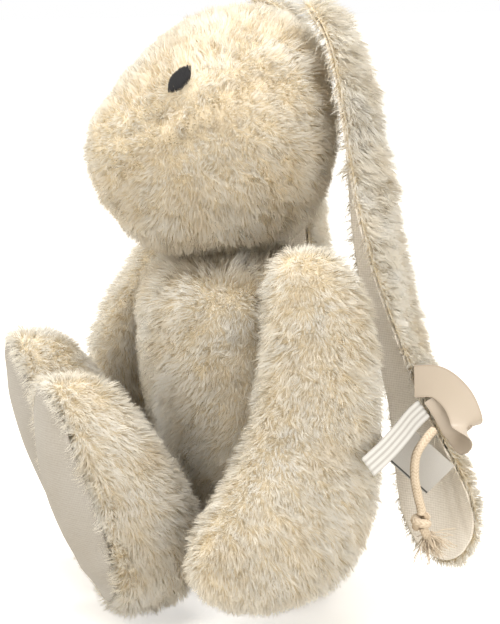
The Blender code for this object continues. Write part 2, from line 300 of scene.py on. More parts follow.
def outermost(trees, start, direction, reach=0.03):
    """The farthest point on the panels along a line, or None where it passes between them."""
    best = None
    for tree in trees:
        place, travelled = start, 0.0
        while travelled < reach:
            hit, _, _, gone = tree.ray_cast(place, direction, reach - travelled)
            if hit is None:
                break
            travelled += gone + 1e-5
            place = hit + direction * 1e-5
            if best is None or travelled > best[0]:
                best = (travelled, hit)
    return None if best is None else best[1]


def envelope(stuffing, panels, levels):
    """The stuffing's mesh, refined and moved out to the outer faces of the panels round it.

    Also gives each point's panel, and its distance from the nearest seam.
    """
    mesh = smoothed(quad_copy(stuffing), levels)
    trees = [bvh_of(panel) for panel in panels]
    start, normals = points_of(mesh), normals_of(mesh)
    points = start.copy()
    missed = []
    for i, (co, normal) in enumerate(zip(start, normals)):
        hit = outermost(trees, Vector(co), Vector(normal))
        if hit is None:
            missed.append(i)
        else:
            points[i] = hit
    if missed:
        moved = np.linalg.norm(points - start, axis=1)
        points[missed] = start[missed] + normals[missed] * np.median(moved[moved > 0])
    points = relaxed(points, edges_of(mesh), 4)
    set_points(mesh, points)
    gaps = np.array([[tree.find_nearest(Vector(p))[3] for tree in trees] for p in points])
    seam = np.sort(gaps, axis=1)[:, 1] if len(trees) > 1 else np.full(len(points), 1.0)
    return mesh, np.argmin(gaps, axis=1), seam


def form_skin(stuffing, panels, inset, levels=3):
    """A closed cloth skin inside the panels' outer faces, by the inset at each point."""
    mesh, panel, seam = envelope(stuffing, panels, levels)
    points = points_of(mesh)
    groove = 1.5 * MM * bump_at(seam, 4 * MM)
    depth = inset(points) + groove
    set_points(mesh, points - normals_of(mesh) * depth[:, None])
    mesh.shade_smooth()
    return mesh, Skin(mesh, panel, seam)


# ---------------------------------------------------------------- pile


class Roots:
    """Where strands grow: points, surface normals, and the distance of each from the nearest seam."""

    def __init__(self, skin, allowed, rng, per_cm2=STRANDS_PER_CM2):
        tri = skin.triangles[allowed]
        a, b, c = (skin.points[tri[:, k]] for k in range(3))
        area = np.linalg.norm(np.cross(b - a, c - a), axis=1) / 2
        count = int(area.sum() * 1e4 * per_cm2)
        pick = rng.choice(len(tri), count, p=area / area.sum())
        u, v = rng.random(count), rng.random(count)
        over = u + v > 1
        u[over], v[over] = 1 - u[over], 1 - v[over]
        weights = np.stack([1 - u - v, u, v], axis=1)
        corners = tri[pick]
        self.points = np.einsum("ij,ijk->ik", weights, skin.points[corners])
        self.normals = unit(np.einsum("ij,ijk->ik", weights, skin.normals[corners]))
        self.seam = np.einsum("ij,ij->i", weights, skin.seam[corners])

    def keep(self, chosen):
        self.points, self.normals, self.seam = self.points[chosen], self.normals[chosen], self.seam[chosen]


def clump_ids(points, size, seed):
    """Numbers the irregular patches, of about the given size, that the points fall in."""
    warp = np.stack([waves(points, 3 * size, seed + k) for k in range(3)], axis=1) * size * 0.6
    cells = np.floor((points + warp) / size).astype(np.int64)
    cells -= cells.min(axis=0)
    keys = (cells[:, 0] * 4096 + cells[:, 1]) * 4096 + cells[:, 2]
    return np.unique(keys, return_inverse=True)[1].reshape(-1)


def clump_means(values, ids):
    count = np.bincount(ids)[:, None]
    total = np.stack([np.bincount(ids, values[:, k]) for k in range(3)], axis=1)
    return (total / count)[ids]


def pile(roots, flow, length, rng, rise=(12, 48), swirl=1.0, ripple=0.0, tone=0.5):
    """Strands of pile as tapered ribbons that rise from the cloth and lie over along the flow."""
    points, normals = roots.points, roots.normals
    count = len(points)
    flow = unit(flow - normals * np.sum(flow * normals, axis=1, keepdims=True))
    turn = swirl * (0.4 * waves(points, 20 * MM, 11) + 0.65 * waves(points, 4 * MM, 12))
    turn += rng.normal(0, 0.6, count)
    across = np.cross(normals, flow)
    flow = flow * np.cos(turn)[:, None] + across * np.sin(turn)[:, None]
    length = length * rng.uniform(0.7, 1.12, count) * (1 + 0.13 * waves(points, 8 * MM, 13))
    lean = 12 * waves(points, 9 * MM, 14) + rng.normal(0, 9, count)
    if ripple:
        phase = points[:, 2] / (11 * MM) + 1.6 * waves(points, 30 * MM, 15)
        lean += ripple * np.sin(2 * math.pi * phase)
    start, end = np.radians(rise[0] + 0.5 * lean), np.radians(rise[1] + lean)
    path = [points]
    for k in range(STEPS):
        angle = start + (end - start) * (k + 0.5) / STEPS
        step = normals * np.cos(angle)[:, None] + flow * np.sin(angle)[:, None]
        step = step + DOWN * (0.15 * (k + 0.5) / STEPS)
        path.append(path[-1] + unit(step) * (length / STEPS)[:, None])
    for size, pull, seed in ((TUFT, TUFT_PULL, 31), (LOCK, LOCK_PULL, 21)):
        ids = clump_ids(points, size, seed)
        centre = clump_means(points, ids)
        for k in range(1, STEPS + 1):
            target = centre + clump_means(path[k] - points, ids)
            path[k] = path[k] + (target - path[k]) * pull * (k / STEPS) ** 1.3
    return strands(path, normals, rng, tone)


def strands(path, normals, rng, tone):
    """The corners of each strand's ribbon, the normals it is shaded with, and its tone."""
    count = len(normals)
    roll = rng.uniform(-1.3, 1.3, count)
    half = STRAND_WIDTH / 2 * rng.uniform(0.7, 1.3, count)
    rows = []
    for k in range(STEPS):
        ahead = unit(path[k + 1] - path[k])
        side = unit(np.cross(ahead, normals))
        lift = np.cross(side, ahead)
        side = side * np.cos(roll)[:, None] + lift * np.sin(roll)[:, None]
        width = (half * (1 - 0.5 * (k / STEPS) ** 1.5))[:, None]
        rows.append(path[k] + side * width)
        rows.append(path[k] - side * width)
    rows.append(path[STEPS])
    corners = np.stack(rows, axis=1)
    corners[:, :, 2] = np.maximum(corners[:, :, 2], FLOOR_CLEARANCE)
    shade = unit(normals + 0.3 * unit(path[STEPS] - path[0]) + rng.normal(0, 0.06, (count, 3)))
    roots = path[0]
    tone = tone + 0.17 * waves(roots, 16 * MM, 41) + 0.12 * waves(roots, 5 * MM, 42)
    return corners, shade, np.clip(tone + rng.normal(0, 0.07, count), 0.02, 0.98)


def strand_mesh(name, corners, shade, tone):
    """One mesh of all the strands. Its map holds each strand's tone, and root to tip along it."""
    count, rows = corners.shape[:2]
    pattern = np.array((0, 2, 3, 1, 2, 4, 3))
    loops = (pattern[None, :] + np.arange(count)[:, None] * rows).ravel()
    totals = np.tile((4, 3), count)
    starts = np.concatenate([[0], np.cumsum(totals)[:-1]])
    mesh = bpy.data.meshes.new(name)
    mesh.vertices.add(count * rows)
    mesh.vertices.foreach_set("co", np.ascontiguousarray(corners, np.float32).ravel())
    mesh.loops.add(len(loops))
    mesh.loops.foreach_set("vertex_index", loops.astype(np.int32))
    mesh.polygons.add(len(totals))
    mesh.polygons.foreach_set("loop_start", starts.astype(np.int32))
    mesh.update(calc_edges=True)
    mesh.shade_smooth()
    along = np.array((0, 0, 0.5, 0.5, 1.0))
    uv = np.empty((count, len(pattern), 2), np.float32)
    uv[:, :, 0] = tone[:, None]
    uv[:, :, 1] = 0.02 + 0.96 * along[pattern][None, :]
    layer = mesh.uv_layers.new(name="OFBake")
    layer.data.foreach_set("uv", uv.ravel())
    mesh.normals_split_custom_set_from_vertices(np.repeat(shade, rows, axis=0))
    return mesh


def grow(name, body, roots, flow, length, rng, **style):
    """Pile on the roots, as a piece of the body."""
    corners, shade, tone = pile(roots, flow, length, rng, **style)
    return show(name, strand_mesh(name, corners, shade, tone), body, "plush_fabric", fur_look)


def shorter_near(distance, shortest, reach):
    """A factor that shortens the pile near something."""
    return 1 - (1 - shortest) * bump_at(distance, reach)


def over_seams(roots, shortest=0.85):
    return shorter_near(roots.seam, shortest, SEAM_REACH)


def distance_to(points, places):
    """How far each point is from the nearest of the places."""
    return np.min([np.linalg.norm(points - place, axis=1) for place in places], axis=0)


# ---------------------------------------------------------------- materials


def new_material(name):
    made = bpy.data.materials.new(name)
    made.use_nodes = True
    return made, made.node_tree, made.node_tree.nodes["Principled BSDF"]


def node(tree, kind, **settings):
    made = tree.nodes.new(kind)
    for key, value in settings.items():
        setattr(made, key, value)
    return made


def plug(tree, value, socket):
    """Links a socket, or sets a number or a colour."""
    if isinstance(value, bpy.types.NodeSocket):
        tree.links.new(value, socket)
    elif isinstance(value, (int, float)):
        socket.default_value = value
    else:
        socket.default_value = (*value, 1)


def ramp(tree, factor, *stops):
    made = node(tree, "ShaderNodeValToRGB")
    elements = made.color_ramp.elements
    while len(elements) < len(stops):
        elements.new(0.5)
    for element, (place, colour) in zip(elements, stops):
        element.position = place
        element.color = (*colour, 1)
    tree.links.new(factor, made.inputs[0])
    return made.outputs[0]


def mixed(tree, kind, factor, first, second):
    made = node(tree, "ShaderNodeMix", data_type="RGBA", blend_type=kind)
    plug(tree, factor, made.inputs[0])
    plug(tree, first, made.inputs[6])
    plug(tree, second, made.inputs[7])
    return made.outputs[2]


def maths(tree, operation, first, second=0.0):
    made = node(tree, "ShaderNodeMath", operation=operation)
    plug(tree, first, made.inputs[0])
    plug(tree, second, made.inputs[1])
    return made.outputs[0]


def scaled(tree, value, factor, start=0.5):
    """start + value * factor."""
    made = maths(tree, "MULTIPLY_ADD", value, factor)
    made.node.inputs[2].default_value = start
    return made


def lines_along(tree, value, count, kind="SINE"):
    """A wave with a number of crests as the value goes from 0 to 1."""
    return maths(tree, kind, maths(tree, "MULTIPLY", value, 2 * math.pi * count))


def noise(tree, scale, detail=3, where=None):
    made = node(tree, "ShaderNodeTexNoise")
    made.inputs["Scale"].default_value = scale
    made.inputs["Detail"].default_value = detail
    if where is not None:
        tree.links.new(where, made.inputs["Vector"])
    return made.outputs[0]


def bumped(tree, shader, height, strength, distance):
    made = node(tree, "ShaderNodeBump")
    made.inputs["Strength"].default_value = strength
    made.inputs["Distance"].default_value = distance
    plug(tree, height, made.inputs["Height"])
    tree.links.new(made.outputs[0], shader.inputs["Normal"])


def baked_map(tree):
    """The two values of the OFBake map."""
    uv = node(tree, "ShaderNodeUVMap", uv_map="OFBake")
    split = node(tree, "ShaderNodeSeparateXYZ")
    tree.links.new(uv.outputs[0], split.inputs[0])
    return split.outputs[0], split.outputs[1]


def see_through(tree, shader, colour, share):
    """Lets some of the light through, as thin fibres and thin cloth do."""
    through = node(tree, "ShaderNodeBsdfTranslucent")
    plug(tree, colour, through.inputs["Color"])
    blend = node(tree, "ShaderNodeMixShader")
    blend.inputs[0].default_value = share
    tree.links.new(shader.outputs[0], blend.inputs[1])
    tree.links.new(through.outputs[0], blend.inputs[2])
    tree.links.new(blend.outputs[0], tree.nodes["Material Output"].inputs["Surface"])


def pile_material():
    """Cream pile: deeper and yellower at the root as painted shade down in the pile, paler at the tip, and
    light passes through it.
    """
    made, tree, shader = new_material("cream_pile")
    tone, along = baked_map(tree)
    tip = ramp(tree, tone, (0.0, (0.91, 0.83, 0.69)), (0.5, (0.96, 0.92, 0.83)), (1.0, (0.985, 0.97, 0.93)))
    # Painted shade: the deeper, yellower root colour stands in for the shade down in the pile
    root = ramp(tree, tone, (0.0, (0.90, 0.76, 0.50)), (1.0, (0.95, 0.85, 0.66)))
    fade = ramp(tree, along, (0.0, (0, 0, 0)), (0.5, (1, 1, 1)))
    colour = mixed(tree, "MIX", fade, root, tip)
    plug(tree, colour, shader.inputs["Base Color"])
    shader.inputs["Roughness"].default_value = 0.7
    shader.inputs["Specular IOR Level"].default_value = 0.2
    see_through(tree, shader, colour, 0.45)
    return made


def backing_material():
    """The knitted cloth that the pile grows from, darkened as painted shade to look like the pile in its own
    shadow.
    """
    made, tree, shader = new_material("pile_backing")
    # Painted shade: the cloth is darkened to match the shaded pile seen between the strands
    colour = ramp(tree, noise(tree, 220), (0.3, (0.62, 0.54, 0.40)), (0.7, (0.72, 0.64, 0.50)))
    plug(tree, colour, shader.inputs["Base Color"])
    shader.inputs["Roughness"].default_value = 0.95
    return made


def linen_material(name, painted_light_factor):
    """Plain woven off-white cloth: threads crossing in two directions, uneven in thickness."""
    made, tree, shader = new_material(name)
    place = node(tree, "ShaderNodeTexCoord").outputs["Object"]
    split = node(tree, "ShaderNodeSeparateXYZ")
    tree.links.new(place, split.inputs[0])
    wobble = maths(tree, "MULTIPLY", noise(tree, 160, 2, place), 2.2)
    pitch = 2 * math.pi / (1.25 * MM)
    sides = maths(tree, "ADD", split.outputs[0], maths(tree, "MULTIPLY", split.outputs[1], 0.6))
    warp = maths(tree, "SINE", maths(tree, "ADD", maths(tree, "MULTIPLY", sides, pitch), wobble))
    weft = maths(tree, "SINE", maths(tree, "ADD", maths(tree, "MULTIPLY", split.outputs[2], pitch), wobble))
    weave = maths(tree, "ADD", warp, weft)
    shade = scaled(tree, weave, 0.22)
    fibres = noise(tree, 900, 3, place)
    thread = mixed(tree, "MIX", 0.5, shade, fibres)
    dark, middle, pale = (0.55, 0.51, 0.45), (0.66, 0.62, 0.56), (0.73, 0.70, 0.65)
    colour = ramp(tree, thread, (0.25, dark), (0.55, middle), (0.8, pale))
    soft = ramp(tree, noise(tree, 30, 2, place), (0.3, (0.93, 0.91, 0.88)), (0.7, (1, 1, 1)))
    cloth = mixed(tree, "MULTIPLY", 1.0, colour, soft)
    # The colour is scaled by the factor: painted shade below 1, painted light above 1
    plug(tree, mixed(tree, "MULTIPLY", 1.0, cloth, (painted_light_factor,) * 3), shader.inputs["Base Color"])
    shader.inputs["Roughness"].default_value = 0.9
    bumped(tree, shader, thread, 0.6, 0.4 * MM)
    return made


def thread_material():
    """Matt black embroidery thread."""
    made, tree, shader = new_material("black_thread")
    colour = ramp(tree, noise(tree, 1500), (0.3, (0.008, 0.008, 0.009)), (0.7, (0.022, 0.021, 0.022)))
    plug(tree, colour, shader.inputs["Base Color"])
    shader.inputs["Roughness"].default_value = 0.75
    shader.inputs["Specular IOR Level"].default_value = 0.25
    return made


def elastic_material():
    """White ribbed tape: fine cross threads over raised ribs that run along it, with painted shade darkest
    in the grooves and palest on the crests.
    """
    made, tree, shader = new_material("ribbed_tape")
    across, along = baked_map(tree)
    ticks = lines_along(tree, along, 75)
    # Painted shade: darkest in the grooves between the ribs, palest on their crests
    rib_painted_shade = scaled(tree, lines_along(tree, across, TAPE_RIBS, "COSINE"), -0.5)
    groove, side, crest = (0.33, 0.315, 0.29), (0.44, 0.425, 0.40), (0.49, 0.48, 0.455)
    colour = ramp(tree, rib_painted_shade, (0.0, groove), (0.5, side), (1.0, crest))
    plug(tree, colour, shader.inputs["Base Color"])
    shader.inputs["Roughness"].default_value = 0.8
    bumped(tree, shader, ticks, 0.25, 0.15 * MM)
    return made


def satin_material():
    """Beige satin ribbon with a soft sheen along its fine warp, and a firm edge."""
    made, tree, shader = new_material("satin_ribbon")
    across, along = baked_map(tree)
    lines = lines_along(tree, across, 30)
    edge = maths(tree, "ABSOLUTE", maths(tree, "SUBTRACT", across, 0.5))
    rim = ramp(tree, edge, (0.42, (1, 1, 1)), (0.47, (0.86, 0.84, 0.82)))
    near, middle, far = (0.36, 0.30, 0.235), (0.42, 0.355, 0.285), (0.37, 0.31, 0.245)
    body = ramp(tree, along, (0.0, near), (0.5, middle), (1.0, far))
    plug(tree, mixed(tree, "MULTIPLY", 1.0, body, rim), shader.inputs["Base Color"])
    shader.inputs["Roughness"].default_value = 0.42
    shader.inputs["Sheen Weight"].default_value = 0.3
    bumped(tree, shader, lines, 0.2, 0.08 * MM)
    return made


def label_material():
    """Blank pale woven label with one dark border line along its free edge."""
    made, tree, shader = new_material("woven_label")
    across, along = baked_map(tree)
    weave = maths(tree, "MULTIPLY", lines_along(tree, across, 60), lines_along(tree, along, 50))
    cloth = ramp(tree, weave, (0.0, (0.40, 0.385, 0.36)), (1.0, (0.56, 0.545, 0.52)))
    off, on = (0, 0, 0), (1, 1, 1)
    line = ramp(tree, along, (0.925, off), (0.935, on), (0.965, on), (0.975, off))
    plug(tree, mixed(tree, "MIX", line, cloth, (0.03, 0.03, 0.03)), shader.inputs["Base Color"])
    shader.inputs["Roughness"].default_value = 0.6
    bumped(tree, shader, weave, 0.2, 0.1 * MM)
    return made


def cotton_material():
    """Natural cotton cord: uneven cream yarn, darker down between the strands as painted shade."""
    made, tree, shader = new_material("cotton_cord")
    depth, _ = baked_map(tree)
    # Painted shade: darker where the braid lies deeper between its strands; the frayed threads' random tones
    # use the same ramp
    base = ramp(tree, depth, (0.0, (0.34, 0.24, 0.15)), (0.5, (0.54, 0.44, 0.33)), (1.0, (0.66, 0.57, 0.45)))
    shade = ramp(tree, noise(tree, 700), (0.3, (0.88, 0.86, 0.82)), (0.7, (1, 1, 1)))
    plug(tree, mixed(tree, "MULTIPLY", 1.0, base, shade), shader.inputs["Base Color"])
    shader.inputs["Roughness"].default_value = 0.9
    bumped(tree, shader, noise(tree, 1800), 0.3, 0.2 * MM)
    return made


# ---------------------------------------------------------------- head, torso, arms and legs


def furry_form(body, panels, furred, inset, parts):
    """One stuffed form: its skin, and the pile on the panels that have one.

    parts gives each patch of pile its name, a test of the triangles' middles, and a function that
    gives its flow, its length and the rest of its style.
    """
    stuffing = f"{body}_stuffing"
    mesh, skin = form_skin(stuffing, panels, inset)
    show(f"{body}_skin", mesh, body, "plush_fabric", backing, stuffing, *furred)
    rng = np.random.default_rng(SEEDS[body])
    allowed = skin.on_panels([panels.index(name) for name in furred])
    middles = skin.middles()
    for name, test, style in parts:
        roots = Roots(skin, allowed & test(middles), rng)
        flow, length, looks = style(roots)
        grow(f"{body}_{name}", body, roots, flow, length, rng, **looks)


def everywhere(points):
    return np.full(len(points), True)


def even_inset(points):
    return np.full(len(points), PILE_DEPTH)


def build_torso():
    names = ["torso_front_panel", "torso_back_left_panel", "torso_back_right_panel", "torso_base_panel"]
    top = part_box("torso_front_panel")[1].z

    def inset(points):
        near_neck = np.clip((points[:, 2] - top + 35 * MM) / (30 * MM), 0, 1)
        return PILE_DEPTH * (1 - 0.75 * near_neck)

    def style(roots):
        height = roots.points[:, 2]
        under = np.where(height < 8 * MM, 0.4, 1.0)
        collar = 1 + 0.9 * np.clip((height - top + 18 * MM) / (14 * MM), 0, 1)
        lap = 1 + 0.6 * bump_at(height - 35 * MM, 25 * MM) * (roots.points[:, 1] < 0)
        length = TORSO_PILE * over_seams(roots) * under * collar * lap
        flow = np.tile((0.0, 0.001, -1.0), (len(height), 1))
        return flow, length, {"rise": SMOOTH_COAT, "swirl": 1.4}

    parts = (("pile_front", lambda p: p[:, 1] < 0, style), ("pile_back", lambda p: p[:, 1] >= 0, style))
    furry_form("torso", names, names, inset, parts)


def head_flow(points, nose, crown, eyes):
    """Back from the nose and away from the eyes, and downwards below the crown."""
    below = np.clip((crown - 30 * MM - points[:, 2]) / (60 * MM), 0, 1)[:, None]
    flow = unit(points - nose) * (1 - 0.6 * below) + DOWN * (0.25 + 0.9 * below)
    for eye in eyes:
        away = points - eye
        flow = flow + 1.6 * unit(away) * bump_at(np.linalg.norm(away, axis=1), 10 * MM)[:, None]
    return flow


def build_head():
    names = ["head_gusset_panel", "head_left_panel", "head_right_panel"]
    low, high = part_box("head_gusset_panel")
    nose = np.array((0, low.y, low.z + 4 * MM))
    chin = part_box("head_left_panel")[0].z
    eyes = [np.array(middle_of(f"eye_{side}")) for side in ("left", "right")]
    ears = [np.array(joint_place(f"{side}_ear_lift")) for side in ("left", "right")]

    def inset(points):
        under_eye = bump_at(distance_to(points, eyes), 9 * MM)
        near_neck = np.clip((chin + 20 * MM - points[:, 2]) / (20 * MM), 0, 1)
        return PILE_DEPTH * (1 - 0.72 * under_eye) * (1 - 0.5 * near_neck)

    def style(roots):
        roots.keep(distance_to(roots.points, eyes) > EYE_CLEARING)
        points = roots.points
        from_nose = np.linalg.norm(points - nose, axis=1)
        face = 0.55 + 0.45 * np.clip((from_nose - 5 * MM) / (60 * MM), 0, 1)
        tuft = 1 + 0.35 * bump_at(distance_to(points, ears), 16 * MM)
        under_chin = 1 + 0.5 * np.clip((chin + 10 * MM - points[:, 2]) / (10 * MM), 0, 1)
        length = HEAD_PILE * face * over_seams(roots, 0.75) * tuft * under_chin
        length = length * shorter_near(distance_to(points, eyes), 0.45, 12 * MM)
        flow = head_flow(points, nose, high.z, eyes)
        # Painted shade: the head's pile gets a lower tone, darker and yellower than elsewhere, to dim the
        # head under the lamps
        return flow, length, {"rise": (6, 38), "swirl": 2.3, "tone": 0.3}

    parts = (("pile_left", lambda p: p[:, 0] >= 0, style), ("pile_right", lambda p: p[:, 0] < 0, style))
    furry_form("head", names, names, inset, parts)


def build_arm(side):
    body = f"arm_{side}"
    names = [f"{body}_outer_panel", f"{body}_inner_panel"]

    def style(roots):
        length = LIMB_PILE * over_seams(roots)
        flow = np.tile((0.0, 0.15, -1.0), (len(length), 1))
        return flow, length, {"rise": SHAGGY, "ripple": 17.0}

    furry_form(body, names, names, even_inset, (("pile", everywhere, style),))


def build_leg(side):
    body = f"leg_{side}"
    plush = [f"{body}_outer_panel", f"{body}_inner_panel"]
    sole = f"foot_{side}_sole"
    tree = bvh_of(sole)
    centre = np.array(middle_of(sole))

    def from_sole(points):
        return np.array([tree.find_nearest(Vector(point))[3] for point in points])

    def inset(points):
        gap = from_sole(points)
        beside = np.clip(gap / (1.5 * MM) - 1, 0, 1)
        return PILE_DEPTH * (1 - 0.75 * beside * bump_at(gap, SOLE_REACH))

    def style(roots):
        gap = from_sole(roots.points)
        rim = bump_at(gap, SOLE_REACH)[:, None]
        length = LIMB_PILE * over_seams(roots)
        length = np.where(gap < 12 * MM, 9.5 * MM, length)
        flow = np.tile((0.0, 0.3, -1.0), (len(length), 1)) * (1 - rim)
        inwards = unit(centre - roots.points)
        flow = flow + rim * (np.array((0.0, -1.0, -0.15)) + 0.8 * inwards)
        return flow, length, {"rise": SHAGGY, "ripple": 8.0}

    def beside_sole(points):
        return from_sole(points) < 7 * MM

    def fringe_style(roots):
        flow = np.stack([waves(roots.points, 5 * MM, 81 + k) for k in range(3)], axis=1)
        return flow, np.full(len(flow), 7.5 * MM), {"rise": (20, 65), "swirl": 2.0}

    parts = (("pile", everywhere, style), ("fringe", beside_sole, fringe_style))
    furry_form(body, [*plush, sole], plush, inset, parts)
    build_sole(side, sole)


def build_sole(side, sole):
    """A crowned cloth sole, a little smaller than its solid, so that the pile closes over its edge."""
    mesh = smoothed(quad_copy(sole), 3)
    points = points_of(mesh)
    centre = points.mean(axis=0)
    normal = np.linalg.svd(points - centre, full_matrices=False)[2][2]
    normal = normal * -np.sign(normal[1] + 1e-9)
    offset = points - centre
    height = offset @ normal
    flat = offset - np.outer(height, normal)
    reach = np.linalg.norm(flat, axis=1)
    edge = np.clip(reach / np.percentile(reach, 97), 0, 1)
    crease = 0.8 * MM * waves(points, 12 * MM, 71) * edge**2 + 0.6 * MM * waves(points, 30 * MM, 72)
    points = centre + flat * SOLE_SCALE + np.outer(height - SOLE_SINK + crease, normal)
    set_points(mesh, points)
    mesh.shade_smooth()
    show(f"{sole}_cloth", mesh, f"leg_{side}", "linen", sole_linen_painted_shade, sole)


# ---------------------------------------------------------------- ears


def joint_place(name):
    for joint in frame["joints"]:
        if joint["name"] == name:
            return Vector(joint["pos_m"])
    raise ValueError(name)


def ear_skin(body, lining_node):
    """A thin skin over the lining.

    Also gives the way the ear faces, the points that bear pile, and those of them along the rim.
    """
    fur_node = f"{body}_fur_panel"
    mesh = smoothed(quad_copy(fur_node), 2)
    points, normals = points_of(mesh), normals_of(mesh)
    tree = bvh_of(lining_node)
    found = [tree.find_nearest(Vector(p)) for p in points]
    nearest = np.array([hit[0] for hit in found])
    gap = np.array([hit[3] for hit in found])
    outwards = unit(normals[gap > 3 * MM].mean(axis=0))
    facing = np.sum((nearest - points) * normals, axis=1) / np.maximum(gap, 1e-6)
    thin = 0.8 * MM + np.maximum(gap - 0.8 * MM, 0) * 0.35
    set_points(mesh, nearest + (points - nearest) * (thin / np.maximum(gap, 1e-6))[:, None])
    mesh.shade_smooth()
    skin = Skin(mesh, np.zeros(len(points), int), gap)
    show(f"{body}_skin", mesh, body, "plush_fabric", backing, fur_node)
    covered = facing < 0.8
    return skin, outwards, covered, covered & (np.abs(normals @ outwards) < 0.75)


def build_ear(side):
    """Pile on the outer side and round the rim, over a thin skin, with a woven lining inside."""
    body = f"ear_{side}"
    lining_node = f"{body}_lining"
    skin, outwards, covered, along_rim = ear_skin(body, lining_node)
    rng = np.random.default_rng(SEEDS[body])
    roots = Roots(skin, covered[skin.triangles].mean(axis=1) > 0.5, rng)
    root_place = np.array(joint_place(f"{side}_ear_lift"))
    from_root = np.linalg.norm(roots.points - root_place, axis=1)
    rim = np.abs(roots.normals @ outwards) < 0.7
    length = LIMB_PILE * (1 + 0.6 * bump_at(from_root, 90 * MM))
    length = np.where(rim & (from_root > 90 * MM), 0.75, 1.0) * length
    flow = DOWN + outwards * np.clip(from_root / (60 * MM) - 1, 0, 0.9)[:, None]
    grow(f"{body}_pile", body, roots, flow, length, rng, rise=SHAGGY, swirl=1.3, ripple=9.0)
    fringe = Roots(skin, along_rim[skin.triangles].mean(axis=1) > 0.5, rng, FRINGE_PER_CM2)
    flow = DOWN + rng.normal(0, 1.2, fringe.points.shape)
    length = np.full(len(flow), 7 * MM)
    grow(f"{body}_fringe", body, fringe, flow, length, rng, rise=(25, 70), swirl=2.0)
    build_lining(body, lining_node)


def build_lining(body, lining_node):
    mesh = smoothed(quad_copy(lining_node), 2)
    points, normals = points_of(mesh), normals_of(mesh)
    soft = 0.35 * MM * waves(points, 12 * MM, 61) + 0.3 * MM * waves(points, 5 * MM, 62)
    set_points(mesh, points + normals * soft[:, None] * 0.5)
    mesh.shade_smooth()
    show(f"{lining_node}_cloth", mesh, body, "linen", lining_linen_painted_light, lining_node)


# ---------------------------------------------------------------- eyes


def stitch(centre, axes, half, s, rng, thickness):
    """The rings of points of one thread over the pad. s runs from -1 to 1 along the eye."""
    long, wide, up = axes
    half_long, half_wide, half_up = half
    reach = half_wide * math.sqrt(1 - s * s * 0.97) * rng.uniform(0.94, 1.05)
    shift = rng.normal(0, 0.12) * MM
    points = []
    for k in range(STITCH_TURNS):
        t = k / (STITCH_TURNS - 1) * 2 - 1
        rise = half_up * 1.1 * math.sqrt(max(1 - t * t, 0)) * math.sqrt(1 - s * s * 0.8)
        place = centre + long * (s * half_long + 0.25 * t * half_wide) + wide * (t * reach + shift)
        place = place + up * (rise - half_up)
        size = thickness * 0.62 * (0.5 if k in (0, STITCH_TURNS - 1) else 1.0)
        points += ring(place, long, up, size, STITCH_SIDES)
    return points


def build_eye(side):
    """Satin stitch: threads side by side across an oval pad, each rounded and a little uneven."""
    source = f"eye_{side}"
    points = points_of(nodes[source].data)
    centre = (points.min(axis=0) + points.max(axis=0)) / 2
    _, _, axes = np.linalg.svd(points - points.mean(axis=0), full_matrices=False)
    if axes[2] @ (centre - np.array(middle_of("head_stuffing"))) < 0:
        axes[2] = -axes[2]
    half = np.abs((points - centre) @ axes.T).max(axis=0)
    rng = np.random.default_rng(SEEDS["eye"])
    verts, faces = [], []
    for index in range(STITCHES):
        faces += tube_faces(len(verts), STITCH_TURNS, STITCH_SIDES)
        s = (index + 0.5) / STITCHES * 2 - 1
        verts += stitch(centre, axes, half, s, rng, half[0] * 2 / STITCHES)
    mesh = mesh_from(f"{source}_stitches", verts, faces)
    show(f"{source}_stitches", mesh, "head", "embroidery_thread", thread, source)


# ---------------------------------------------------------------- tags


def refined(rows, per_step):
    """The rows with smooth steps put between them."""
    result = []
    last = len(rows) - 1
    for i in range(last):
        before, a, b, after = (rows[max(i - 1, 0)], rows[i], rows[i + 1], rows[min(i + 2, last)])
        for k in range(per_step):
            t = k / per_step
            result.append(
                ((2 * a) + (b - before) * t + (2 * before - 5 * a + 4 * b - after) * t**2
                 + (3 * a - before - 3 * b + after) * t**3) / 2
            )
    result.append(rows[-1])
    return np.array(result)


def strip_faces(rows, columns):
    """The faces of a strip: its two sides, each a grid of rows and columns, and its rim."""
    under = rows * columns
    faces = []
    for i in range(rows - 1):
        for j in range(columns - 1):
            a = i * columns + j
            quad = (a, a + 1, a + columns + 1, a + columns)
            faces.append(quad)
            faces.append(tuple(under + v for v in quad[::-1]))
    rim = [i * columns for i in range(rows)]
    rim += [(rows - 1) * columns + j for j in range(1, columns)]
    rim += [i * columns + columns - 1 for i in range(rows - 2, -1, -1)]
    rim += list(range(columns - 2, 0, -1))
    for a, b in zip(rim, rim[1:] + rim[:1]):
        faces.append((a, b, under + b, under + a))
    return faces


def strip_mesh(name, path, breadth, width, thickness, columns):
    """A strip of cloth along a path. thickness gives its half thickness at a place across it."""
    middle = sampled(np.array(path) * MM, STRIP_SPACING)
    rows = len(middle)
    ahead = unit(np.gradient(middle, axis=0))
    breadth = np.array(breadth, float)
    half = unit(breadth - ahead * (ahead @ breadth)[:, None]) * width / 2
    out = unit(np.cross(ahead, half))
    places = np.linspace(-1, 1, columns)
    heights = np.array([thickness((p + 1) / 2) for p in places])
    verts, uvs = [], []
    for side in (1, -1):
        for i in range(rows):
            for p, h in zip(places, heights):
                verts.append(middle[i] + half[i] * p + out[i] * side * h)
                uvs.append((0.01 + 0.98 * (p + 1) / 2, 0.01 + 0.98 * i / (rows - 1)))
    mesh = mesh_from(name, verts, strip_faces(rows, columns))
    paint(mesh, uvs)
    bm = bmesh.new()
    bm.from_mesh(mesh)
    bmesh.ops.recalc_face_normals(bm, faces=bm.faces)
    bm.to_mesh(mesh)
    bm.free()
    mesh.set_sharp_from_angle(angle=math.radians(50))
    return mesh


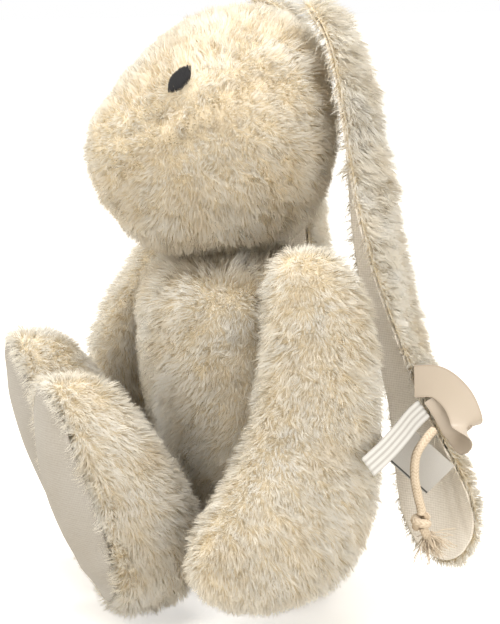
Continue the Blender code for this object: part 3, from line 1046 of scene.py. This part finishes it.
def paint(mesh, values):
    """Gives the mesh an OFBake map from one pair of values per vertex."""
    index = np.empty(len(mesh.loops), np.int64)
    mesh.loops.foreach_get("vertex_index", index)
    layer = mesh.uv_layers.new(name="OFBake")
    layer.data.foreach_set("uv", np.array(values, np.float32)[index].ravel())


def tape_profile(across):
    return (0.42 + 0.2 * abs(math.sin(math.pi * TAPE_RIBS * across))) * MM


def flat_profile(across):
    return 0.28 * MM


def build_strips():
    strips = (
        ("tag_tape", TAPE_PATH, TAPE_BREADTH, TAPE_WIDTH, tape_profile, 41, "elastic_tape", elastic),
        ("tag_ribbon", RIBBON_PATH, RIBBON_BREADTH, RIBBON_WIDTH, flat_profile, 13, "satin_ribbon", satin),
        ("tag_label", LABEL_PATH, LABEL_BREADTH, LABEL_WIDTH, flat_profile, 13, "woven_label", label),
    )
    for body, *shape, slot, material in strips:
        mesh = strip_mesh(f"{body}_cloth", *shape)
        show(f"{body}_cloth", mesh, body, slot, material, body)


def sampled(points, spacing):
    """A smooth line through the points, in even steps."""
    fine = refined(np.array(points, float), 24)
    lengths = travelled_along(fine)
    wanted = np.linspace(0, lengths[-1], max(int(lengths[-1] / spacing), 2))
    return np.stack([np.interp(wanted, lengths, fine[:, k]) for k in range(3)], axis=1)


def braid_height(around, along):
    """How far the braid's strands stand out, 0 to 1, at a turn and a distance along the cord."""
    column = (around * BRAID_COLUMNS) % 1
    slope = abs(column - 0.5) * 2
    ridge = abs(math.sin(math.pi * (along / BRAID_PITCH * 2 + slope * 0.9)))
    edge = min(abs(column), abs(column - 0.5), abs(1 - column)) * 2
    return ridge**0.6 * (0.72 + 0.28 * min(edge * 4, 1))


def braid_mesh(name, line):
    """A braided tube along a line, with its depth between the strands in its map."""
    ahead = unit(np.gradient(line, axis=0))
    side = unit(np.cross(ahead[0], (0.3, 1.0, 0.1)))
    verts, values = [], []
    for place, forward, along in zip(line, ahead, travelled_along(line)):
        side = unit(side - forward * (side @ forward))
        front = np.cross(forward, side)
        for j in range(BRAID_SIDES):
            height = braid_height(j / BRAID_SIDES, along)
            radius = CORD_RADIUS * (0.86 + 0.2 * height)
            turn = 2 * math.pi * j / BRAID_SIDES
            verts.append(place + (side * math.cos(turn) + front * math.sin(turn)) * radius)
            values.append((0.03 + 0.94 * height, 0.5))
    mesh = mesh_from(name, verts, tube_faces(0, len(line), BRAID_SIDES))
    paint(mesh, values)
    return mesh


def knot_line(centre, radius, height, turns):
    """The wraps of an overhand knot round the cord, from the top down."""
    steps = int(turns * 10)
    points = []
    for k in range(steps + 1):
        t = k / steps
        angle = 2 * math.pi * turns * t + 0.6
        swell = radius * (0.75 + 0.25 * math.sin(math.pi * t))
        place = (math.cos(angle) * swell, math.sin(angle) * swell, height * (0.5 - t))
        points.append(centre + np.array(place))
    return points


def build_cord():
    knot = np.array(CORD_KNOT) * MM
    hanging = [np.array(place) * MM for place in CORD_PATH]
    above, inside = knot + (0, 0, 6.5 * MM), knot + (0, 0, 3.5 * MM)
    tail_start, tail_end = knot + (0, 1.0 * MM, -3 * MM), knot + (0, 4.0 * MM, -8 * MM)
    sagging = (tail_start + tail_end) / 2 + (0, 0, -0.5 * MM)
    lines = {
        "tag_cord_braid": [*hanging, above, inside],
        "tag_cord_knot": knot_line(knot, KNOT_RADIUS, KNOT_HEIGHT, KNOT_TURNS),
        "tag_cord_tail": [tail_start, sagging, tail_end],
    }
    for name, places in lines.items():
        mesh = braid_mesh(name, sampled(places, CORD_SPACING))
        stood_for = ("tag_cord",) if name == "tag_cord_braid" else ()
        show(name, mesh, "tag_cord", "cotton_cord", cotton, *stood_for)
    build_fray(tail_end, unit(tail_end - tail_start))


def frayed_thread(start, heading, side, front, rng):
    """The rings of points of one loose thread, and a tone for each point."""
    turn, fan = rng.uniform(0, 2 * math.pi), rng.uniform(0, 1) ** 0.7
    out = side * math.cos(turn) + front * math.sin(turn)
    place = start - heading * 1.5 * MM + out * CORD_RADIUS * 0.8 * fan
    aim = unit(heading + out * 0.95 * fan + np.array((0, 0.45, 0.1)) * rng.uniform(0, 1))
    length = rng.uniform(8, 17) * MM
    thick = rng.uniform(0.28, 0.45) * MM
    points, values = [], []
    for k in range(FRAY_STEPS):
        aim = unit(aim + rng.normal(0, 0.22, 3) + DOWN * 0.05)
        right = unit(np.cross(aim, (0.2, 0.4, 1.0)))
        size = thick * (1 - 0.5 * k / FRAY_STEPS)
        points += ring(place, right, np.cross(aim, right), size, FRAY_SIDES)
        values += [(rng.uniform(0.55, 0.97), 0.5) for _ in range(FRAY_SIDES)]
        place = place + aim * length / (FRAY_STEPS - 1)
    return points, values


def build_fray(start, heading):
    """The cord's end, unravelled into loose wavy threads that fan out."""
    rng = np.random.default_rng(SEEDS["fray"])
    side = unit(np.cross(heading, (1.0, 0.2, 0.1)))
    front = np.cross(heading, side)
    verts, values, faces = [], [], []
    for _ in range(FRAY_THREADS):
        faces += tube_faces(len(verts), FRAY_STEPS, FRAY_SIDES)
        points, tones = frayed_thread(start, heading, side, front, rng)
        verts += points
        values += tones
    mesh = mesh_from("tag_cord_fray", verts, faces)
    paint(mesh, values)
    show("tag_cord_fray", mesh, "tag_cord", "cotton_cord", cotton)


# ---------------------------------------------------------------- camera and light


def look_at(obj, target):
    obj.rotation_euler = (obj.location - target).to_track_quat("Z", "Y").to_euler()


def heading_to(azimuth, elevation):
    """The direction from the toy to something at this azimuth and elevation. 0 is in front of it."""
    level = math.cos(elevation)
    return Vector((math.sin(azimuth) * level, -math.cos(azimuth) * level, math.sin(elevation)))


def add_camera():
    right = Vector((math.cos(AZIMUTH), math.sin(AZIMUTH), 0))
    target = right * AIM_SIDE + Vector((0, 0, AIM_HEIGHT))
    camera = bpy.data.cameras.new("camera")
    camera.sensor_width = SENSOR
    camera.lens = SENSOR * DISTANCE / FRAME_HEIGHT
    obj = link(bpy.data.objects.new("camera", camera))
    obj.location = target + heading_to(AZIMUTH, ELEVATION) * DISTANCE
    look_at(obj, target)
    bpy.context.scene.camera = obj


def add_light(name, azimuth, elevation, distance, size, power):
    light = bpy.data.lights.new(name, "AREA")
    light.shape = "DISK"
    light.size = size
    light.energy = power
    obj = link(bpy.data.objects.new(name, light))
    target = Vector((0, 0, AIM_HEIGHT))
    obj.location = target + heading_to(math.radians(azimuth), math.radians(elevation)) * distance
    look_at(obj, target)


def add_world():
    """White to the camera, and a little warmer as the soft light from all sides."""
    world = bpy.data.worlds.new("studio")
    world.use_nodes = True
    tree = world.node_tree
    background = tree.nodes["Background"]
    seen = node(tree, "ShaderNodeLightPath").outputs["Is Camera Ray"]
    plug(tree, mixed(tree, "MIX", seen, AMBIENT_TINT, (1, 1, 1)), background.inputs[0])
    plug(tree, scaled(tree, seen, 1.0 - AMBIENT, AMBIENT), background.inputs[1])
    bpy.context.scene.world = world


def add_floor():
    """A plain floor, pale to the camera, that throws only a moderate light back up."""
    bm = bmesh.new()
    bmesh.ops.create_grid(bm, x_segments=1, y_segments=1, size=FLOOR_SIZE)
    mesh = bpy.data.meshes.new("floor")
    bm.to_mesh(mesh)
    bm.free()
    floor = link(bpy.data.objects.new("floor", mesh))
    floor.location.z = -FLOOR_DROP
    made, tree, shader = new_material("floor")
    plug(tree, FLOOR_COLOUR, shader.inputs["Base Color"])
    shader.inputs["Roughness"].default_value = 0.9
    plug(tree, (1, 1, 1), shader.inputs["Emission Color"])
    seen = node(tree, "ShaderNodeLightPath").outputs["Is Camera Ray"]
    tree.links.new(maths(tree, "MULTIPLY", seen, FLOOR_GLOW), shader.inputs["Emission Strength"])
    mesh.materials.append(made)


def add_studio():
    bpy.context.scene.view_settings.view_transform = "Standard"
    add_world()
    for lamp in LAMPS:
        add_light(*lamp)
    add_floor()


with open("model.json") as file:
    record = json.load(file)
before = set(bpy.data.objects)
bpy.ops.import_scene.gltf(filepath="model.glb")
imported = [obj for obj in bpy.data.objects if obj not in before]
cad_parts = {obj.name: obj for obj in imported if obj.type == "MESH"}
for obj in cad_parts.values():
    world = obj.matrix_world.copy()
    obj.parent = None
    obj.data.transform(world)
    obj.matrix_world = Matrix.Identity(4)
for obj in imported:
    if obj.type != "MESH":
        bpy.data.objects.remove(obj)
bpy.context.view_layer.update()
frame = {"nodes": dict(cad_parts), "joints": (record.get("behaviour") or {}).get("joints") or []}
nodes = frame["nodes"]
fur_look = pile_material()
backing = backing_material()
# Two copies of one linen: the sole's darkened as painted shade, the lining's lightened as painted light
sole_linen_painted_shade = linen_material("sole_linen_painted_shade", SOLE_PAINTED_SHADE)
lining_linen_painted_light = linen_material("lining_linen_painted_light", LINING_PAINTED_LIGHT)
thread = thread_material()
elastic = elastic_material()
satin = satin_material()
label = label_material()
cotton = cotton_material()

build_torso()
build_head()
for side in ("left", "right"):
    build_arm(side)
    build_leg(side)
    build_ear(side)
    build_eye(side)
build_strips()
build_cord()
add_camera()
add_studio()
bpy.context.view_layer.update()
